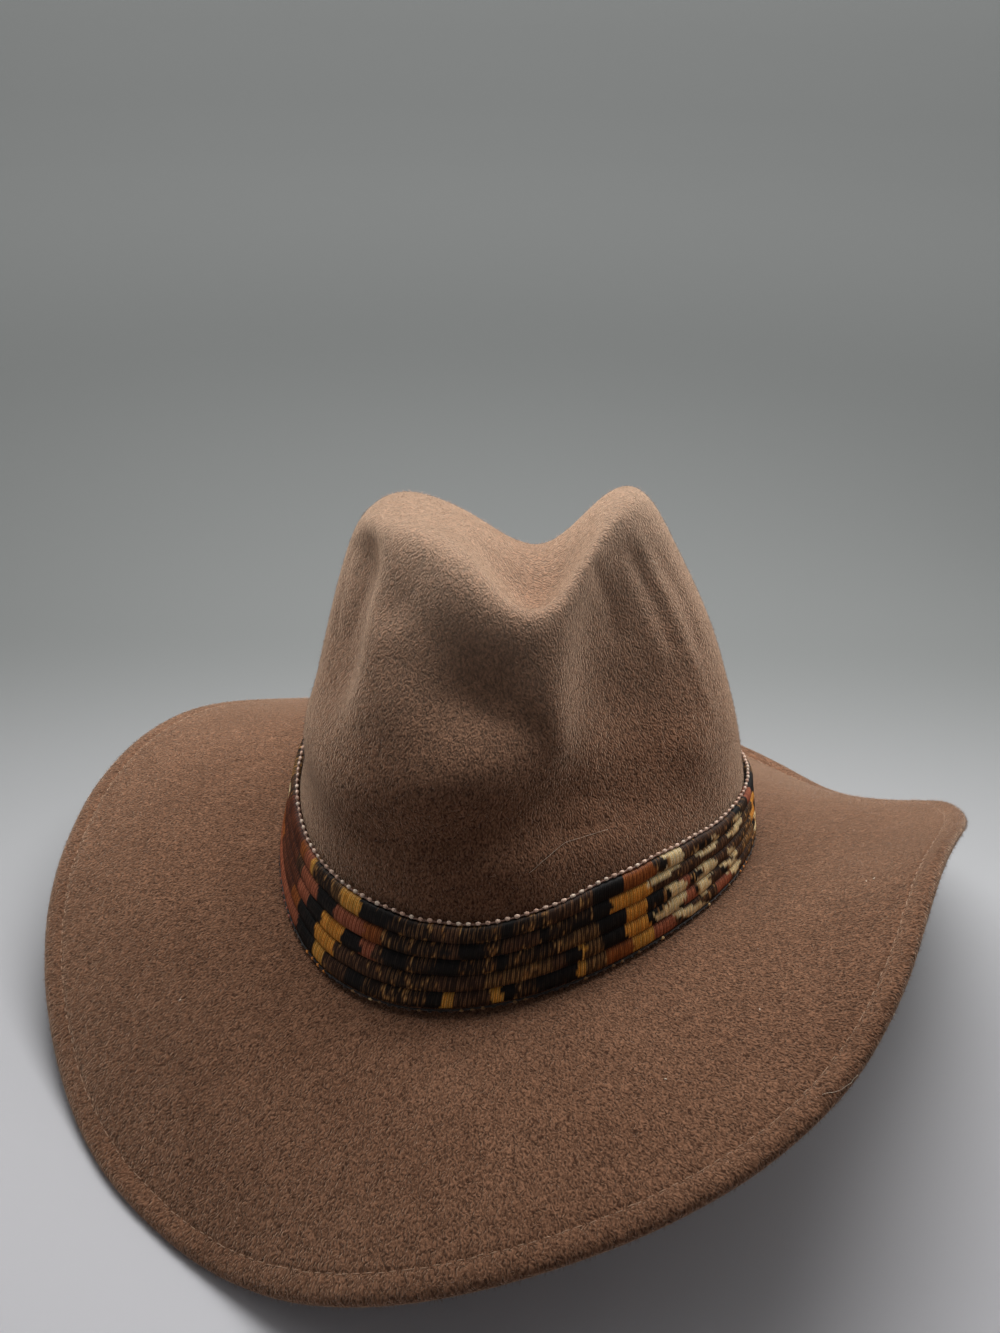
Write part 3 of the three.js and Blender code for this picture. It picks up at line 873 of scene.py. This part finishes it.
# Edgings: a thin cord with small loops of thread, drawn as beads
picots = {
    "pitch": 3.3 * mm,
    "cord": 0.32 * mm,
    "cordSides": 6,
    "columnsPerBead": 4,
    "lift": 0.25 * mm,
    "lookAhead": 0.001,
    "sizes": (0.85, 1.12),
    "tones": (0.85, 1.1),
    "speckShare": 0.75,
    "look": {
        "twist": {"Scale": 2600.0, "From": 0.3, "To": 0.7, "Dark": (0.7, 0.68, 0.66, 1),
                  "Light": (1.12, 1.1, 1.08, 1)},
        "bump": (0.5, 0.15 * mm),
        "surface": {"Roughness": 0.6, "Sheen Weight": 0.2},
    },
}
edgings = {
    "upper": {"piece": "upper_picots", "node": "upper_edging", "slot": "pale_edging",
              "bead": (1.0 * mm, 0.7 * mm, 0.78 * mm), "rise": 0.6 * mm, "depth": 1.1 * mm,
              "cordYarn": linear(122, 88, 70),
              "yarns": [linear(236, 204, 182), linear(218, 180, 156), linear(244, 222, 200)], "specks": []},
    "lower": {"piece": "lower_picots", "node": "lower_edging", "slot": "dark_edging",
              "bead": (0.95 * mm, 0.62 * mm, 0.66 * mm), "rise": -0.4 * mm, "depth": 2.2 * mm,
              "cordYarn": linear(30, 22, 17),
              "yarns": [linear(40, 28, 20), linear(28, 20, 16), linear(74, 50, 32), linear(150, 112, 66)],
              "specks": [(-26, -16, "orange"), (-60, -36, "brick"), (2, 6, "cream"), (62, 66, "gold"),
                         (84, 92, "brick"), (98, 104, "cream"), (126, 136, "cream"), (150, 160, "orange")]},
}


# A place on an edging, which follows the band's top or bottom edge, and the way out from the band there
def edgingPlace(edging, share):
    top, low = edgeRises(share * bandLength / mm)
    if edging["rise"] > 0:
        up = 1 + (top + edging["rise"]) / band["height"]
    else:
        up = (low + edging["rise"]) / band["height"]
    here = bandPlace(bandLoops, share, up, edging["depth"])
    return here, (bandPlace(bandLoops, share, up, edging["depth"] + 1 * mm) - here).normalized()


def makeEdging(edging, material):
    bm = bmesh.new()
    colour = bm.verts.layers.float_color.new("thread")
    draws = random.Random(23)
    count = round(bandLength / picots["pitch"])
    perBead, sides = picots["columnsPerBead"], picots["cordSides"]
    columns = count * perBead
    shares = evenShares(bandMiddle, columns)[0]
    bmesh.ops.create_grid(bm, x_segments=columns, y_segments=sides, size=0.5)
    for v in bm.verts:
        column = round((v.co.x + 0.5) * columns) % columns
        turn = 2 * math.pi * round((v.co.y + 0.5) * sides) / sides
        here, outward = edgingPlace(edging, shares[column])
        upward = Vector((0, 0, 1)) - outward * outward.z
        v.co = here + (outward * math.cos(turn) - upward.normalized() * math.sin(turn)) * picots["cord"]
        v[colour] = edging["cordYarn"]
    bmesh.ops.remove_doubles(bm, verts=bm.verts, dist=0.01 * mm)
    bmesh.ops.recalc_face_normals(bm, faces=bm.faces)
    for k in range(count):
        share = shares[k * perBead]
        here, outward = edgingPlace(edging, share)
        way = (edgingPlace(edging, share + picots["lookAhead"])[0] - here).normalized()
        upward = outward.cross(way).normalized()
        here += upward * math.copysign(picots["lift"], edging["rise"])
        size = [half * draws.uniform(*picots["sizes"]) for half in edging["bead"]]
        along = onChart(share * bandLength / mm)
        speck = next((yarns[name][0] for start, end, name in edging["specks"] if start <= along <= end), None)
        shade = draws.uniform(*picots["tones"])
        yarn = speck if speck and draws.random() < picots["speckShare"] else draws.choice(edging["yarns"])
        for v in addBead(bm, setAt(here, way, upward, size)):
            v[colour] = [channel * shade for channel in yarn[:3]] + [1]
    finishPiece(bm, edging["piece"], material, edging["slot"], edging["node"])


picotFinish = threadMaterial("picotFinish", picots["look"])
for edging in edgings.values():
    makeEdging(edging, picotFinish)
print("edgings done")

# Lint and stray hairs that lie on the felt, in millimetres
lint = {
    "thickness": 0.08 * mm,
    "rise": 0.25 * mm,
    "wave": 0.8,
    "waveRate": 0.9,
    "stepsPerPoint": 8,
    "speckLengths": (0.35, 0.7),
    "speckHalf": (0.22 * mm, 0.16 * mm),
    "speckRise": 0.15 * mm,
    "colour": linear(232, 214, 192),
    "hairs": [
        [(51.2, -65.6, 88), (54.3, -59.1, 91.3), (56.9, -51.9, 93.7), (61.4, -45.2, 94), (66, -38.4, 94.4)],
        [(48.2, 19.5, 163.4), (49.6, 21.6, 161.9), (49.7, 25.1, 163.6)],
        [(156, -88, 70), (159.4, -85.4, 72.3), (162, -82, 73.5), (162.3, -79.3, 74.1)],
        [(-96, 60, 60), (-99, 66, 60), (-97, 73, 60), (-91, 76, 60)],
        [(-60, 20, 120), (-62, 27, 122), (-61, 35, 121)],
        [(30, 130, 40), (37, 134, 40), (45, 133, 40), (50, 128, 40)],
    ],
    "specks": [(112.6, -91.9, 55.7), (144.2, 0.1, 80.7), (142.1, -0.7, 79.2), (166.2, -58.7, 80.9),
               (-49.2, -123.7, 31.1), (128.7, -60.3, 65), (-110, 70, 50), (0, 130, 40), (70, 95, 60),
               (-60, -20, 90), (10, 70, 120)],
}


def makeLint():
    bm = bmesh.new()
    draws = random.Random(3)
    perPoint = lint["stepsPerPoint"]
    for hair in lint["hairs"]:
        points = [Vector(point) * mm for point in hair]
        spots = []
        for k in range(perPoint * (len(points) - 1) + 1):
            start = min(k // perPoint, len(points) - 2)
            near = points[start].lerp(points[start + 1], k / perPoint - start)
            spot, normal, _, _ = feltTree.find_nearest(near)
            spots.append(spot + normal * lint["rise"] * (1 + lint["wave"] * math.sin(k * lint["waveRate"])))
        addStrand(bm, smoothed(spots), lint["thickness"])
    for speck in lint["specks"]:
        way = Vector([draws.uniform(-1, 1) for _ in range(3)])
        size = (draws.uniform(*lint["speckLengths"]) * mm, *lint["speckHalf"])
        addBead(bm, laidOn(Vector(speck) * mm, way, size, lint["speckRise"]))
    bmesh.ops.recalc_face_normals(bm, faces=bm.faces)
    finishPiece(bm, "lint", threadMaterial("lintFinish", looseThread, lint["colour"]), "felt")


def smoothed(points):
    inner = [(last + 2 * here + ahead) / 4 for last, here, ahead in zip(points, points[1:], points[2:])]
    return [points[0], *inner, points[-1]]


# A thin closed strand along a list of points
def addStrand(bm, points, radius):
    way = (points[1] - points[0]).normalized()
    turn = way.to_track_quat("Z", "Y").to_matrix().to_4x4()
    made = bmesh.ops.create_circle(bm, cap_ends=True, segments=4, radius=radius,
                                   matrix=Matrix.Translation(points[0]) @ turn)
    face = made["verts"][0].link_faces[0]
    for last, here in zip(points, points[1:]):
        made = bmesh.ops.extrude_face_region(bm, geom=[face])["geom"]
        face = next(item for item in made if isinstance(item, bmesh.types.BMFace))
        bmesh.ops.translate(bm, vec=here - last, verts=face.verts)


makeLint()
print("lint done")

# Floor, backdrop and light. The light stands square to the photo's view, which comes from the front right
studio = {
    "viewTurn": 30.243,
    "pale": linear(226, 225, 229),
    "grey": linear(112, 114, 113),
    "paleTo": -0.34,
    "greyFrom": 0.26,
    "profile": [(0, 0), (0.3, 0), (0.8, 0), (1.02, 0.02), (1.16, 0.12), (1.2, 0.3), (1.2, 1.2), (1.2, 2)],
    "spinSteps": 48,
    "subdivisions": 2,
    "surface": {"Roughness": 0.8},
    "world": linear(212, 206, 200),
    "worldStrength": 0.04,
    "facesAcross": 0.7,
    # name, place across and along the view and up, where it points, size, power
    "lights": [
        ("topLight", (0.03, 0.11, 0.44), (0.02, 0.05, 0), (0.5, 0.2), 2.45),
        ("leftLight", (-0.4, 0.02, 0.28), (0, 0, 0.08), (0.36, 0.3), 0.08),
        ("rightLight", (0.42, 0.12, 0.24), (0, 0, 0.08), (0.36, 0.3), 0.3),
        ("wallLight", (0, 0.3, 1.0), (0, 1.2, 0.5), (1.4, 0.5), 20),
        ("frontWallLight", (0, -0.3, 1.0), (0, -1.2, 0.5), (1.4, 0.5), 0.8),
    ],
}


def addStudio():
    bm = bmesh.new()
    chain = [bm.verts.new((radius, 0, rise)) for radius, rise in studio["profile"]]
    edges = [bm.edges.new(pair) for pair in zip(chain, chain[1:])]
    bmesh.ops.spin(bm, geom=chain + edges, cent=(0, 0, 0), axis=(0, 0, 1), angle=2 * math.pi,
                   steps=studio["spinSteps"], use_merge=True, use_duplicate=False)
    bmesh.ops.remove_doubles(bm, verts=bm.verts, dist=0.1 * mm)
    bmesh.ops.recalc_face_normals(bm, faces=bm.faces)
    bmesh.ops.reverse_faces(bm, faces=bm.faces)
    material, tree, shader = newMaterial("floorFinish", studio["surface"])
    turned = addNode(tree, "Mapping", {"Vector": objectPlace(tree),
                                       "Rotation": (0, 0, -math.radians(studio["viewTurn"]))})
    depth = addNode(tree, "SeparateXYZ", {0: turned.outputs[0]}).outputs["Y"]
    share = ranged(tree, depth, studio["paleTo"], studio["greyFrom"])
    share.node.interpolation_type = "SMOOTHSTEP"
    tree.links.new(mixed(tree, share, studio["pale"], studio["grey"]), shader.inputs["Base Color"])
    floor = objectFrom(bm, "floor", material)
    modifier = floor.modifiers.new("subdivision", "SUBSURF")
    modifier.levels = modifier.render_levels = studio["subdivisions"]


# A light whose long side lies across the view, or along it where the light points across
def addAreaLight(name, place, target, size, power):
    turn = Matrix.Rotation(math.radians(studio["viewTurn"]), 3, "Z")
    data = bpy.data.lights.new(name, "AREA")
    data.shape = "RECTANGLE"
    data.size, data.size_y = size
    data.energy = power
    light = bpy.data.objects.new(name, data)
    light.location = turn @ Vector(place)
    back = (turn @ (Vector(place) - Vector(target))).normalized()
    across, along = turn @ Vector((1, 0, 0)), turn @ Vector((0, 1, 0))
    up = back.cross(across if abs(back.dot(across)) < studio["facesAcross"] else along).normalized()
    light.rotation_euler = Matrix((up.cross(back), up, back)).transposed().to_euler()
    bpy.context.scene.collection.objects.link(light)


def addLights():
    world = bpy.data.worlds.new("studio")
    world.use_nodes = True
    background = world.node_tree.nodes["Background"]
    background.inputs["Color"].default_value = studio["world"]
    background.inputs["Strength"].default_value = studio["worldStrength"]
    bpy.context.scene.world = world
    for light in studio["lights"]:
        addAreaLight(*light)
    bpy.context.scene.view_settings.view_transform = "Standard"


addStudio()
addLights()
print("studio done")
